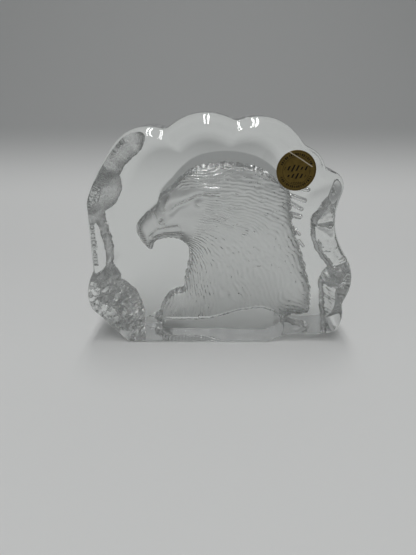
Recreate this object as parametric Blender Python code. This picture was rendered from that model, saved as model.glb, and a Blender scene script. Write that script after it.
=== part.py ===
"""A clear crystal block with an eagle's head sunk into its back, and a round foil seal stuck on its front.

The head is a hollow, deepest where the bird stands out most, and it is seen through the polished front face.
The block has a scalloped rim, and flakes are struck off all round its back edge. Lengths are in metres, +Z is
up and the front faces -Y. The origin is at the bottom centre of the whole piece.
"""

import math

import bmesh
import bpy
import numpy as np

# The block, and the largest rounding of its front edge
BLOCK_WIDTH = 0.1305
BLOCK_HEIGHT = 0.1107
BLOCK_THICKNESS = 0.038
FRONT_ROUND = 0.0066
ROUND_STEPS = 3
NOTCH_SOFTNESS = 0.0013
LOBE_POINTS = 60
OUTLINE_STEP = 0.0032

# The soft shoulder that falls away round the back face. It starts and is full at these shares of the height.
SHOULDER_WIDTH = 0.014
SHOULDER_FADE = 0.006
SHOULDER_SLOPE = 0.42
SHOULDER_START = 0.1
SHOULDER_FULL = 0.4

# The eagle's head, measured on the block's back face: its walls drop straight, but over the crown a bevel
# comes first, and its bottom is a dome that the beak's rise makes shallower in front
EAGLE_HEIGHT = 0.0922
EAGLE_X = 0.0
EAGLE_DEPTH = 0.011
BEAK_RISE = 0.003
EDGE_DEPTH = 0.0006
CROWN_BEVEL = 0.0048
CROWN_SLOPE = 0.56
CROWN_DROP = 0.0016
DOME_RISE = 0.0022
DOME_WIDTH = 0.013
BEAK_DOME_WIDTH = 0.005
RELIEF_STEP = 0.0014
# Shares of the head's height, across or up, between which the beak, the crown's bevel and the bare skin under
# the brow begin
BEAK_ACROSS = (-0.26, -0.36)
BEAK_UP = (0.43, 0.48)
CROWN_UP = (0.63, 0.90)
SKIN_ACROSS = (-0.01, -0.07)
SKIN_UP = (0.65, 0.68)
SKIN_TOP = (0.83, 0.80)

# The foil seal, its place from the block's right side and top, and the gap between it and the polished face
SEAL_DIAMETER = 0.0175
SEAL_THICKNESS = 0.0002
SEAL_GAP = 0.0003
SEAL_FROM_SIDE = 0.0318
SEAL_FROM_TOP = 0.0247

# The whole piece is centred on the origin from front to back
WHOLE_DEPTH = BLOCK_THICKNESS + SEAL_GAP + SEAL_THICKNESS
BACK_Y = WHOLE_DEPTH / 2
FRONT_Y = BACK_Y - BLOCK_THICKNESS

# Corners between the rim's lobes, clockwise from the foot's left end as seen from the front. Each row has
# the share of the width from the middle, the share of the height, how far the lobe that follows bulges, as
# a share of its chord, and the share of the front edge's largest rounding there.
SCALLOPS = [
    (-0.356, 0.000, -0.01, 0.14),
    (-0.492, 0.164, 0.11, 0.18),
    (-0.470, 0.348, 0.00, 0.21),
    (-0.472, 0.644, 0.04, 0.24),
    (-0.362, 0.878, 0.17, 0.45),
    (-0.186, 0.936, 0.16, 1.00),
    (0.054, 0.970, 0.19, 1.00),
    (0.290, 0.874, 0.15, 0.70),
    (0.366, 0.782, 0.23, 0.52),
    (0.436, 0.698, -0.14, 0.39),
    (0.462, 0.428, 0.16, 0.27),
    (0.474, 0.190, 0.13, 0.21),
    (0.456, 0.048, 0.05, 0.17),
    (0.296, 0.042, -0.03, 0.15),
    (0.198, 0.000, 0.00, 0.14),
]
# The place on the back face, as shares of the width and height, that the shoulder is drawn towards
HEART = (-0.008, 0.470)

# Flakes struck off the back edge. Each row has the depth of the steep wall as a share of the thickness, the
# wall's width as a share of the height, the slope of the facet behind it, and the flake's footprint on the
# back face as shares of the width and height. The last two points lie beyond the rim.
FLAKES = [
    (
        0.74, 0.050, 0.3,
        [(-0.379, 0.734), (-0.355, 0.777), (-0.323, 0.812), (-0.287, 0.842), (-0.273, 0.881),
         (-0.279, 0.917), (-0.307, 0.958), (-0.460, 0.976), (-0.552, 0.734)],
    ),
    (
        0.76, 0.054, 0.3,
        [(-0.398, 0.750), (-0.379, 0.734), (-0.373, 0.692), (-0.379, 0.656), (-0.393, 0.620),
         (-0.418, 0.592), (-0.444, 0.567), (-0.552, 0.560), (-0.552, 0.759)],
    ),
    (
        0.76, 0.032, 0.3,
        [(-0.429, 0.596), (-0.441, 0.567), (-0.440, 0.524), (-0.467, 0.510), (-0.552, 0.515),
         (-0.552, 0.614)],
    ),
    (
        0.58, 0.007, 0.0,
        [(-0.448, 0.551), (-0.439, 0.512), (-0.428, 0.452), (-0.424, 0.406), (-0.427, 0.343),
         (-0.441, 0.316), (-0.552, 0.316), (-0.552, 0.560)],
    ),
    (
        0.76, 0.063, 0.4,
        [(-0.437, 0.334), (-0.415, 0.287), (-0.402, 0.264), (-0.403, 0.235), (-0.398, 0.181),
         (-0.552, 0.090), (-0.552, 0.343)],
    ),
    (
        0.74, 0.081, 0.4,
        [(-0.403, 0.235), (-0.375, 0.218), (-0.349, 0.190), (-0.330, 0.147), (-0.317, 0.105),
         (-0.314, 0.070), (-0.310, 0.038), (-0.314, -0.072), (-0.552, -0.072), (-0.552, 0.253)],
    ),
    (
        0.39, 0.007, 0.8,
        [(0.467, 0.691), (0.448, 0.682), (0.428, 0.654), (0.399, 0.612), (0.376, 0.565), (0.363, 0.531),
         (0.364, 0.515), (0.598, 0.497), (0.598, 0.691)],
    ),
    (
        0.21, 0.009, 0.85,
        [(0.364, 0.515), (0.369, 0.469), (0.378, 0.430), (0.398, 0.381), (0.418, 0.350), (0.434, 0.326),
         (0.447, 0.305), (0.598, 0.298), (0.598, 0.524)],
    ),
    (
        0.63, 0.054, 0.3,
        [(0.460, 0.343), (0.447, 0.305), (0.431, 0.275), (0.416, 0.243), (0.416, 0.222), (0.598, 0.136),
         (0.598, 0.343)],
    ),
    (
        0.18, 0.009, 0.8,
        [(0.413, 0.238), (0.426, 0.175), (0.432, 0.121), (0.438, 0.067), (0.446, 0.023), (0.460, -0.072),
         (0.598, -0.072), (0.598, 0.235)],
    ),
]
# The facet's length as a share of the height, at most this share of the way to the rim, and the deepest bite
FLAKE_REACH = 0.12
FLAKE_CLOSING = 0.95
DEEPEST_FLAKE = 0.79

# The ridge along the broken lower back edge. Each row has its place as shares of the width and height, and
# its distance in from the back face as a share of the thickness. Below it a bevel slopes down to the foot.
RIDGE = [
    (-0.266, 0.032, 0.01),
    (-0.244, 0.042, 0.05),
    (-0.236, 0.054, 0.24),
    (-0.188, 0.052, 0.30),
    (-0.110, 0.051, 0.30),
    (-0.033, 0.057, 0.30),
    (0.020, 0.076, 0.31),
    (0.080, 0.101, 0.32),
    (0.147, 0.116, 0.33),
    (0.185, 0.116, 0.33),
    (0.231, 0.097, 0.32),
    (0.263, 0.067, 0.29),
    (0.284, 0.033, 0.13),
    (0.299, 0.019, 0.01),
]
RIDGE_SLOPE = 0.2

# The head's outline as shares of its height, clockwise: up the beak and over the crown to the nape
CROWN = [
    (-0.380, 0.462),
    (-0.434, 0.504),
    (-0.464, 0.586),
    (-0.433, 0.648),
    (-0.368, 0.708),
    (-0.334, 0.757),
    (-0.294, 0.825),
    (-0.223, 0.898),
    (-0.141, 0.963),
    (-0.022, 0.997),
    (0.059, 1.000),
    (0.192, 0.976),
    (0.289, 0.921),
    (0.353, 0.857),
    (0.390, 0.790),
]
NAPE_END = (0.556, 0.130)
NAPE_SAG = -0.028
NAPE_TUFTS = 9
TUFT_LENGTH = 0.022
# From the shoulder under the neck and up the chest and the throat, back to the tip of the beak
THROAT = [
    (0.540, 0.078),
    (0.440, 0.055),
    (0.390, 0.030),
    (-0.350, 0.030),
    (-0.346, 0.090),
    (-0.317, 0.165),
    (-0.270, 0.216),
    (-0.206, 0.236),
    (-0.190, 0.300),
    (-0.176, 0.380),
    (-0.168, 0.465),
    (-0.200, 0.513),
    (-0.280, 0.534),
    (-0.329, 0.523),
    (-0.368, 0.500),
]

# Rounded rises of the head, and smaller rises and hollows of its face, as shares of its height: centre, half
# width, half height, rise and turn
SWELLS = [
    (0.022, 0.781, 0.239, 0.174, 0.024, 0),
    (0.152, 0.390, 0.239, 0.282, 0.033, 0),
    (-0.065, 0.564, 0.152, 0.098, 0.011, 0),
]
FACE_MOUNDS = [
    (-0.277, 0.754, 0.038, 0.054, 0.013, -40),
    (-0.125, 0.727, 0.087, 0.046, -0.014, 20),
    (-0.106, 0.738, 0.025, 0.024, 0.018, 0),
    (-0.321, 0.644, 0.015, 0.010, -0.010, 25),
]
# Ridges and grooves of the face, as shares of the height: half width, rise, then the points they run through
BROW = (0.024, 0.014, [(-0.298, 0.721), (-0.260, 0.765), (-0.184, 0.776), (-0.103, 0.803), (-0.022, 0.806)])
LID = (0.011, -0.016, [(-0.260, 0.686), (-0.182, 0.737), (-0.111, 0.774), (-0.011, 0.772)])
MOUTH = (0.010, -0.015, [(-0.380, 0.548), (-0.293, 0.597), (-0.230, 0.613), (-0.163, 0.636)])
JAW = (0.015, -0.010, [(-0.358, 0.536), (-0.298, 0.556), (-0.217, 0.560)])
CERE = (0.009, -0.008, [(-0.363, 0.694), (-0.338, 0.627), (-0.321, 0.614)])
FACE_LINES = [BROW, LID, MOUTH, JAW, CERE]

# How steeply the feathers run downwards, in degrees, at places given as shares of the height
FEATHER_FLOW = [
    (-0.22, 0.87, -40),
    (-0.05, 0.94, -12),
    (0.09, 0.95, 0),
    (0.22, 0.91, 12),
    (0.33, 0.82, 25),
    (-0.20, 0.63, -5),
    (0.05, 0.60, 25),
    (0.13, 0.52, 48),
    (0.30, 0.60, 35),
    (0.20, 0.39, 62),
    (0.43, 0.49, 48),
    (0.09, 0.30, 78),
    (-0.15, 0.43, 100),
    (-0.15, 0.33, 115),
    (-0.27, 0.16, 110),
    (0.16, 0.13, 80),
    (0.50, 0.15, 30),
]
FEATHER_LENGTH = 0.100
FEATHER_WIDTH = 0.052
FEATHER_LIFT = 0.0095
# From one feather to the next as a share of its length and width, and how far each strays from its place
FEATHER_SPACING = 0.75
FEATHER_SCATTER = 0.006
FEATHER_SEED = 7
FEATHERED_ACROSS = (-0.38, 0.58)
FEATHERED_UP = (0.02, 1.0)
# The feathers begin between these distances from the middle of the face
FACE_CENTRE = (-0.282, 0.629)
FACE_REACH = (0.17, 0.23)
# The carving is full at this share of the dome's width from the wall
CARVING_START = 0.25

# Points closer than these are one point, before the cuts and after them
WELD = 0.000001
SHORT_EDGE = 0.00005
# How far cutters reach past the surface that they cut
OVERCUT = 0.004
CRYSTAL_COLOUR = (0.93, 0.95, 0.94, 1.0)
FOIL_COLOUR = (0.09, 0.06, 0.02, 1.0)


def clear_scene():
    for obj in list(bpy.data.objects):
        bpy.data.objects.remove(obj)


def new_collection(name):
    collection = bpy.data.collections.new(name)
    bpy.context.scene.collection.children.link(collection)
    return collection


def new_material(name, colour, roughness, metallic, transmission):
    material = bpy.data.materials.new(name)
    material.use_nodes = True
    shader = material.node_tree.nodes["Principled BSDF"]
    shader.inputs["Base Color"].default_value = colour
    shader.inputs["Roughness"].default_value = roughness
    shader.inputs["Metallic"].default_value = metallic
    shader.inputs["Transmission Weight"].default_value = transmission
    shader.inputs["IOR"].default_value = 1.545
    return material


def link_mesh(name, mesh, collection):
    obj = bpy.data.objects.new(name, mesh)
    collection.objects.link(obj)
    return obj


def as_cutter(obj):
    """A shape that only cuts: drawn as a wire and left out of a render."""
    obj.hide_render = True
    obj.display_type = "WIRE"
    return obj


def add_boolean(obj, other, operation):
    modifier = obj.modifiers.new(other.name, "BOOLEAN")
    modifier.operation = operation
    if isinstance(other, bpy.types.Collection):
        modifier.operand_type = "COLLECTION"
        modifier.collection = other
    else:
        modifier.object = other
    modifier.solver = "EXACT"
    modifier.material_mode = "TRANSFER"


def fade(value, start, end):
    """0 before the start, 1 past the end, and an S curve between."""
    share = np.clip((value - start) / (end - start), 0, 1)
    return share * share * (3 - 2 * share)


def respaced(ring, step):
    """The closed ring with its points set at even distances of about one step, with all its columns."""
    closed = np.vstack([ring, ring[:1]])
    along = np.concatenate([[0], np.cumsum(np.hypot(*np.diff(closed[:, :2], axis=0).T))])
    count = round(along[-1] / step)
    places = np.arange(count) / count * along[-1]
    return np.column_stack([np.interp(places, along, column) for column in closed.T])


def softened(ring, radius, step):
    """Each point of an evenly spaced ring moved to the Gaussian mean of its neighbours."""
    reach = math.ceil(3 * radius / step)
    offsets = np.arange(-reach, reach + 1)
    weights = np.exp(-0.5 * (offsets * step / radius) ** 2)
    weights /= weights.sum()
    neighbours = (np.arange(len(ring))[:, None] + offsets) % len(ring)
    return (ring[neighbours] * weights[:, None]).sum(1)


def block_outline():
    """The rim seen from the front, with the front edge's rounding along it as a third column.

    Parabolic lobes stand on their chords. They are softened in the notches and flat underneath.
    """
    fine = NOTCH_SOFTNESS / 5
    size = np.array([BLOCK_WIDTH, BLOCK_HEIGHT, FRONT_ROUND])
    lobes = []
    for (x0, z0, bulge, round0), (x1, z1, _, round1) in zip(SCALLOPS, SCALLOPS[1:] + SCALLOPS[:1]):
        start = np.array([x0, z0, round0]) * size
        chord = np.array([x1, z1, round1]) * size - start
        share = np.linspace(0, 1, LOBE_POINTS, endpoint=False)[:, None]
        outwards = np.array([-chord[1], chord[0], 0])
        lobes.append(start + share * chord + 4 * bulge * share * (1 - share) * outwards)
    ring = respaced(np.concatenate(lobes), fine)
    soft = softened(ring, NOTCH_SOFTNESS, fine)
    off_foot = fade(ring[:, 1:2], 0, 2 * NOTCH_SOFTNESS)
    ring = ring + (soft - ring) * off_foot
    low, high = ring[:, :2].min(0), ring[:, :2].max(0)
    ring[:, :2] = (ring[:, :2] - low) / (high - low) * size[:2] - [BLOCK_WIDTH / 2, 0]
    return respaced(ring, OUTLINE_STEP)


def standing(places, y):
    """Points from their places seen from the front and their distance along Y."""
    return np.column_stack([places[:, 0], np.broadcast_to(y, len(places)), places[:, 1]])


def front_rings(outline, rounding):
    """From the front face round the front edge to the side: circle arcs of the rim's own changing radius."""
    along = np.roll(outline, -1, 0) - np.roll(outline, 1, 0)
    outward = np.column_stack([-along[:, 1], along[:, 0]]) / np.hypot(*along.T)[:, None]
    rings = []
    for angle in np.linspace(math.pi / 2, 0, ROUND_STEPS + 1):
        inset = rounding * (1 - math.cos(angle))
        rings.append(standing(outline - outward * inset[:, None], FRONT_Y + rounding * (1 - math.sin(angle))))
    return rings


def shoulder_rings(outline):
    """From the side over the soft shoulder on to the back face. The shoulder fades out towards the foot."""
    inwards = np.array(HEART) * [BLOCK_WIDTH, BLOCK_HEIGHT] - outline
    inwards /= np.hypot(*inwards.T)[:, None]
    rings = []
    for reach in (0, SHOULDER_WIDTH - SHOULDER_FADE, SHOULDER_WIDTH):
        places = outline + inwards * reach
        left = SHOULDER_WIDTH - reach
        fall = left - SHOULDER_FADE / 2 if left > SHOULDER_FADE else left**2 / (2 * SHOULDER_FADE)
        above_foot = fade(places[:, 1] / BLOCK_HEIGHT, SHOULDER_START, SHOULDER_FULL)
        rings.append(standing(places, BACK_Y - SHOULDER_SLOPE * fall * above_foot))
    return rings


def loft(name, rings, collection):
    """A closed solid through rings of as many points each, with a flat cap on the first and on the last."""
    shape = bmesh.new()
    levels = [[shape.verts.new(point) for point in ring] for ring in rings]
    for level, above in zip(levels, levels[1:]):
        for index in range(len(level)):
            after = (index + 1) % len(level)
            shape.faces.new((level[index], level[after], above[after], above[index]))
    shape.faces.new(levels[0])
    shape.faces.new(levels[-1])
    bmesh.ops.recalc_face_normals(shape, faces=shape.faces)
    mesh = bpy.data.meshes.new(name)
    shape.to_mesh(mesh)
    shape.free()
    return link_mesh(name, mesh, collection)


def prism(name, ring, front, back, collection):
    """The outline, a flat curve standing in the XZ plane, extruded from front to back."""
    curve = bpy.data.curves.new(name, "CURVE")
    curve.dimensions = "2D"
    curve.fill_mode = "BOTH"
    curve.extrude = (back - front) / 2
    spline = curve.splines.new("POLY")
    spline.points.add(len(ring) - 1)
    spline.use_cyclic_u = True
    flat = np.column_stack([ring, np.zeros(len(ring)), np.ones(len(ring))])
    spline.points.foreach_set("co", flat.ravel())
    holder = link_mesh(name + "_curve", curve, collection)
    holder.rotation_euler.x = math.pi / 2
    holder.location.y = (front + back) / 2
    bpy.context.view_layer.update()
    graph = bpy.context.evaluated_depsgraph_get()
    mesh = bpy.data.meshes.new_from_object(holder.evaluated_get(graph))
    mesh.transform(holder.matrix_world)
    bpy.data.objects.remove(holder)
    shape = bmesh.new()
    shape.from_mesh(mesh)
    bmesh.ops.remove_doubles(shape, verts=shape.verts, dist=WELD)
    for cap_y in (front, back):
        cap = [face for face in shape.faces if all(abs(vert.co.y - cap_y) < WELD for vert in face.verts)]
        bmesh.ops.dissolve_faces(shape, faces=cap)
    bmesh.ops.recalc_face_normals(shape, faces=shape.faces)
    shape.to_mesh(mesh)
    shape.free()
    mesh.name = name
    return link_mesh(name, mesh, collection)


def flake_cutter(index, row, collection):
    """One struck flake: a steep wall from its footprint's edge, then a gentler facet out towards the rim."""
    wall_depth, wall_width, slope, footprint = row
    edge = np.array(footprint) * [BLOCK_WIDTH, BLOCK_HEIGHT]
    beyond_rim = edge[-2:].mean(0) - edge
    length = np.hypot(*beyond_rim.T)[:, None]
    depth = wall_depth * BLOCK_THICKNESS
    end_depth = depth + slope * (FLAKE_REACH - wall_width) * BLOCK_HEIGHT
    steps = [
        (0, -OVERCUT),
        (0, 0),
        (wall_width * BLOCK_HEIGHT, depth),
        (FLAKE_REACH * BLOCK_HEIGHT, min(end_depth, DEEPEST_FLAKE * BLOCK_THICKNESS)),
    ]
    rings = []
    for reach, bite in steps:
        share = np.minimum(reach / length, FLAKE_CLOSING)
        rings.append(standing(edge + beyond_rim * share, BACK_Y - bite))
    return as_cutter(loft(f"flake_{index}", rings, collection))


def ridge_cutter(collection):
    """The broken lower back edge: sections across it, each one a step in at the ridge and a slope below."""
    sections = []
    for across, up, start in RIDGE:
        x = across * BLOCK_WIDTH
        top = up * BLOCK_HEIGHT
        y = BACK_Y - start * BLOCK_THICKNESS
        foot_y = y - RIDGE_SLOPE * (top + OVERCUT)
        behind = BACK_Y + OVERCUT
        sections.append([(x, behind, top), (x, y, top), (x, foot_y, -OVERCUT), (x, behind, -OVERCUT)])
    return as_cutter(loft("lower_ridge", sections, collection))


def nape_outline():
    """The ragged nape: a sagging line with tufts, each running slowly outwards and stepping back in."""
    start = np.array(CROWN[-1])
    chord = np.array(NAPE_END) - start
    outwards = np.array([-chord[1], chord[0]]) / np.hypot(*chord)
    points = []
    for tuft in range(NAPE_TUFTS):
        for share, out in ((0.25, 0.0), (0.85, 1.0), (1.0, 0.1)):
            along = (tuft + share) / NAPE_TUFTS
            sag = 4 * NAPE_SAG * along * (1 - along)
            points.append(start + along * chord + (sag + out * TUFT_LENGTH) * outwards)
    return [tuple(point) for point in points]


def rounded_through(points, pieces):
    """A closed Catmull-Rom curve through the points, each stretch in so many pieces."""
    knots = np.array(points)
    before, here, after, beyond = (np.roll(knots, shift, 0) for shift in (1, 0, -1, -2))
    stretches = []
    for share in np.arange(pieces) / pieces:
        stretches.append(
            0.5
            * (
                2 * here
                + (after - before) * share
                + (2 * before - 5 * here + 4 * after - beyond) * share**2
                + (3 * here - before - 3 * after + beyond) * share**3
            )
        )
    return np.stack(stretches, 1).reshape(-1, 2)


def eagle_outline():
    """The head's outline in metres: smooth beak, crown and throat, and a ragged nape."""
    ring = rounded_through(CROWN + nape_outline() + THROAT, 2)
    return ring * EAGLE_HEIGHT + [EAGLE_X, 0]


def distance_to(x, z, points, closed):
    """Distance to a line of points, and the upward share of the way to its nearest spot. Minus outside."""
    starts = np.array(points)
    ends = np.roll(starts, -1, 0)
    if not closed:
        starts, ends = starts[:-1], ends[:-1]
    nearest = np.full(x.shape, np.inf)
    lift = np.zeros(x.shape)
    inside = np.full(x.shape, not closed)
    for (x0, z0), (x1, z1) in zip(starts, ends):
        run, climb = x1 - x0, z1 - z0
        share = np.clip(((x - x0) * run + (z - z0) * climb) / (run * run + climb * climb), 0, 1)
        away_x = x0 + share * run - x
        away_z = z0 + share * climb - z
        gap = np.hypot(away_x, away_z)
        lift = np.where(gap < nearest, away_z / np.maximum(gap, WELD), lift)
        nearest = np.minimum(nearest, gap)
        if climb and closed:
            crossing = x0 + (z - z0) * run / climb
            inside ^= ((z0 > z) != (z1 > z)) & (x < crossing)
    return np.where(inside, nearest, -nearest), lift


def feather_slope(x, z):
    """The downward angle of the feathers at each place: a mean of the named angles, weighted by nearness."""
    flow = np.array(FEATHER_FLOW)
    gap = np.hypot(x[..., None] - flow[:, 0], z[..., None] - flow[:, 1])
    weight = 1 / (gap**3 + 0.00001)
    return np.radians((weight * flow[:, 2]).sum(-1) / weight.sum(-1))


def feathers(x, z):
    """Overlapping feathers on a staggered lattice, laid from the neck to the face: each lifts to its tip."""
    dice = np.random.default_rng(FEATHER_SEED)
    pitch = FEATHER_LENGTH * FEATHER_SPACING
    rows = np.arange(*FEATHERED_UP, FEATHER_WIDTH * FEATHER_SPACING)
    column, row = np.meshgrid(np.arange(*FEATHERED_ACROSS, pitch), rows)
    column = column + (np.arange(len(rows)) % 2)[:, None] * pitch / 2
    centres = np.column_stack([column.ravel(), row.ravel()])
    centres += dice.uniform(-FEATHER_SCATTER, FEATHER_SCATTER, centres.shape)
    from_face = np.hypot(*(centres - FACE_CENTRE).T)
    angles = feather_slope(centres[:, 0], centres[:, 1])
    lift = np.zeros(x.shape)
    for index in np.argsort(-from_face):
        (x0, z0), angle = centres[index], angles[index]
        along = ((x - x0) * math.cos(angle) - (z - z0) * math.sin(angle)) / FEATHER_LENGTH + 0.5
        side = ((x - x0) * math.sin(angle) + (z - z0) * math.cos(angle)) / (FEATHER_WIDTH / 2)
        width = np.sqrt(np.clip(1 - np.abs((along - 0.4) / 0.6) ** 2.6, 0, 1))
        covered = (along > 0) & (along < 1) & (np.abs(side) < width)
        lift = np.where(covered, FEATHER_LIFT * (0.7 * along + 0.3 * (1 - side * side)), lift)
    return lift


def mound(x, z, row):
    """A Gaussian rise or hollow, with its own half lengths and turn."""
    x0, z0, half_width, half_height, rise, turn = row
    cosine, sine = math.cos(math.radians(turn)), math.sin(math.radians(turn))
    along = ((x - x0) * cosine + (z - z0) * sine) / half_width
    across = ((z - z0) * cosine - (x - x0) * sine) / half_height
    return rise * np.exp(-along * along - across * across)


def relief_depth(x, z, outline):
    """How far the hollow reaches in from the back face: its wall, then a dome with the face and feathers."""
    from_edge, lift = distance_to(x, z, outline, True)
    inward = np.maximum(from_edge, 0)
    x, z = (x - EAGLE_X) / EAGLE_HEIGHT, z / EAGLE_HEIGHT
    on_beak = fade(x, *BEAK_ACROSS) * fade(z, *BEAK_UP)
    on_crown = np.clip(lift * np.sign(from_edge), 0, 1) * fade(z, *CROWN_UP)
    full = EAGLE_DEPTH - BEAK_RISE * on_beak + EAGLE_HEIGHT * sum(mound(x, z, row) for row in SWELLS)
    start = full - DOME_RISE - CROWN_DROP * on_crown
    bevel_width = CROWN_BEVEL * on_crown
    bevel = EDGE_DEPTH + CROWN_SLOPE * np.minimum(inward, bevel_width)
    wall = np.clip(1 + (inward - bevel_width) / RELIEF_STEP, 0, 1)
    dome_width = DOME_WIDTH + (BEAK_DOME_WIDTH - DOME_WIDTH) * on_beak
    share = np.clip((inward - bevel_width) / dome_width, 0, 1)
    carving = sum(mound(x, z, row) for row in FACE_MOUNDS)
    for half_width, rise, points in FACE_LINES:
        carving = carving + rise * np.exp(-((distance_to(x, z, points, False)[0] / half_width) ** 2))
    from_face = np.hypot(x - FACE_CENTRE[0], z - FACE_CENTRE[1])
    bare_skin = fade(x, *SKIN_ACROSS) * fade(z, *SKIN_UP) * fade(z, *SKIN_TOP)
    feathered = fade(from_face, *FACE_REACH) * (1 - bare_skin)
    carving = carving + feathers(x, z) * feathered
    dome = (full - start) * share * (2 - share)
    return bevel + (start - bevel) * wall + dome + carving * EAGLE_HEIGHT * fade(share, 0, CARVING_START)


def relief_cutter(collection, guides):
    """The head as a solid: a grid pushed forwards by the relief's depth, cut round by the head's outline."""
    outline = eagle_outline()
    low, high = outline.min(0) - RELIEF_STEP, outline.max(0) + RELIEF_STEP
    columns, rows = (math.ceil(span / RELIEF_STEP) for span in high - low)
    shape = bmesh.new()
    bmesh.ops.create_grid(shape, x_segments=columns, y_segments=rows, size=1)
    flat = np.array([vert.co[:2] for vert in shape.verts])
    x, z = ((flat + 1) / 2 * (high - low) + low).T
    depth = relief_depth(x, z, outline)
    for vert, place in zip(shape.verts, np.column_stack([x, BACK_Y - depth, z])):
        vert.co = place
    grown = bmesh.ops.extrude_face_region(shape, geom=shape.faces[:])
    for item in grown["geom"]:
        if isinstance(item, bmesh.types.BMVert):
            item.co.y = BACK_Y + OVERCUT
    bmesh.ops.recalc_face_normals(shape, faces=shape.faces)
    mesh = bpy.data.meshes.new("eagle_relief")
    shape.to_mesh(mesh)
    shape.free()
    cutter = link_mesh("eagle_relief", mesh, collection)
    edge = prism("eagle_edge", outline, BACK_Y - BLOCK_THICKNESS, BACK_Y + OVERCUT / 2, guides)
    add_boolean(cutter, as_cutter(edge), "INTERSECT")
    return as_cutter(cutter)


def finish_cuts(block):
    """Applies the cuts, welds the shortest edges and dissolves corners where only two edges meet."""
    bpy.context.view_layer.update()
    graph = bpy.context.evaluated_depsgraph_get()
    mesh = bpy.data.meshes.new_from_object(block.evaluated_get(graph))
    shape = bmesh.new()
    shape.from_mesh(mesh)
    bmesh.ops.remove_doubles(shape, verts=shape.verts, dist=SHORT_EDGE)
    in_a_line = [vert for vert in shape.verts if len(vert.link_edges) == 2]
    bmesh.ops.dissolve_verts(shape, verts=in_a_line)
    shape.to_mesh(mesh)
    shape.free()
    block.modifiers.clear()
    block.data = mesh


def crystal_block(parts, cutters, guides):
    """The cast block: its rounded rim, the pieces struck off its back edge, and the head sunk in its back."""
    outline, rounding = np.split(block_outline(), [2], axis=1)
    rings = front_rings(outline, rounding[:, 0]) + shoulder_rings(outline)
    block = loft("crystal_block", rings, parts)
    block.data.materials.append(new_material("clear_crystal", CRYSTAL_COLOUR, 0.0, 0.0, 1.0))
    for index, row in enumerate(FLAKES):
        flake_cutter(index, row, cutters)
    ridge_cutter(cutters)
    head = relief_cutter(cutters, guides)
    head.data.materials.append(new_material("frosted_crystal", CRYSTAL_COLOUR, 0.5, 0.0, 1.0))
    add_boolean(block, cutters, "DIFFERENCE")
    finish_cuts(block)
    return block


def foil_seal(parts, block):
    """A thin round foil disc on the polished front, near the upper right corner."""
    shape = bmesh.new()
    radius = SEAL_DIAMETER / 2
    bmesh.ops.create_cone(
        shape, cap_ends=True, segments=64, radius1=radius, radius2=radius, depth=SEAL_THICKNESS
    )
    mesh = bpy.data.meshes.new("foil_seal")
    shape.to_mesh(mesh)
    shape.free()
    seal = link_mesh("foil_seal", mesh, parts)
    seal.parent = block
    seal.rotation_euler.x = math.pi / 2
    seal.location = (
        BLOCK_WIDTH / 2 - SEAL_FROM_SIDE,
        FRONT_Y - SEAL_GAP - SEAL_THICKNESS / 2,
        BLOCK_HEIGHT - SEAL_FROM_TOP,
    )
    mesh.shade_smooth()
    mesh.set_sharp_from_angle(angle=math.radians(40))
    mesh.materials.append(new_material("gold_foil", FOIL_COLOUR, 0.4, 0.8, 0.0))
    return seal


clear_scene()
crystal_parts = new_collection("crystal_eagle_head")
crystal_cutters = new_collection("cutters")
crystal_guides = new_collection("guides")
crystal = crystal_block(crystal_parts, crystal_cutters, crystal_guides)
foil_seal(crystal_parts, crystal)
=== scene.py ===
import math

import bpy
import numpy as np
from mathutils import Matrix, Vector


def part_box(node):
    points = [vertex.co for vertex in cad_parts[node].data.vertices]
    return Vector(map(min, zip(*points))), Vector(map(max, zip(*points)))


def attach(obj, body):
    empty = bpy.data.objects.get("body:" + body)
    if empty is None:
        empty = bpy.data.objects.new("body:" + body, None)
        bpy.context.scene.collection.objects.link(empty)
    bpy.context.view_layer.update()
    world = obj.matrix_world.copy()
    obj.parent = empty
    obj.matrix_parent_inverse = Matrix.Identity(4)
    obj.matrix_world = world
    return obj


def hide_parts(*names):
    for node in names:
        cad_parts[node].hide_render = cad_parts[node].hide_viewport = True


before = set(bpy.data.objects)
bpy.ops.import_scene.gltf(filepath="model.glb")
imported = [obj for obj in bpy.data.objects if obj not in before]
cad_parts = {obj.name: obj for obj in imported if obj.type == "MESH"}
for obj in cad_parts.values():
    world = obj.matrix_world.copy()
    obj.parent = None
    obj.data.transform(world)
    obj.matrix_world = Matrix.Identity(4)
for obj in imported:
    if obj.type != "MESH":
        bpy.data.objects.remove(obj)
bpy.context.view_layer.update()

# The crystal block: one heavy piece of clear lead crystal, pressed in a mould and polished flat in front.
# Its rim is scalloped and softly rounded, its foot is ground flat, flakes are broken off all round the back
# edge, and an eagle's head is sunk into the back, with bumpy walls and a frosted bottom. The flakes' broken
# skins, a line along the lower edge's ridge, the ground bevel and the head's walls are tinted darker as
# painted shade.
block_low, block_high = (Vector(corner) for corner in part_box("crystal_block"))
BLOCK_WIDTH = block_high.x - block_low.x
BLOCK_HEIGHT = block_high.z
BLOCK_THICKNESS = block_high.y - block_low.y
FRONT_Y = block_low.y
BACK_Y = block_high.y
MILLIMETRE = 0.001
# The mesh: the middle that its rings shrink to, half the points across its back and front grids, the front
# grid's share of the flat face, and the points along its outline
HEART = np.array([-0.001, 0.052])
GRID_HALF = 140
FRONT_HALF = 28
FRONT_SHARE = 0.98
OUTLINE_POINTS = 4096
LOBE_POINTS = 60
NOTCH_SOFTNESS = 0.0013
NORMAL_SOFTNESS = 16
# The side and the front edge: where rings run along the side, how far the side draws in towards the front,
# and the front edge's largest radius, its steps, and how much it eases into the flat face
SIDE_SHARES = (0.02, 0.25, 0.5, 0.75, 0.98, 1)
SIDE_BULGE = 0.0006
BULGE_FADE = 6
FRONT_ROUND = 0.0066
ROUND_STEPS = 8
ROUND_EASE = 0.4
FLAT_STRIP = 0.0002
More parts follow.
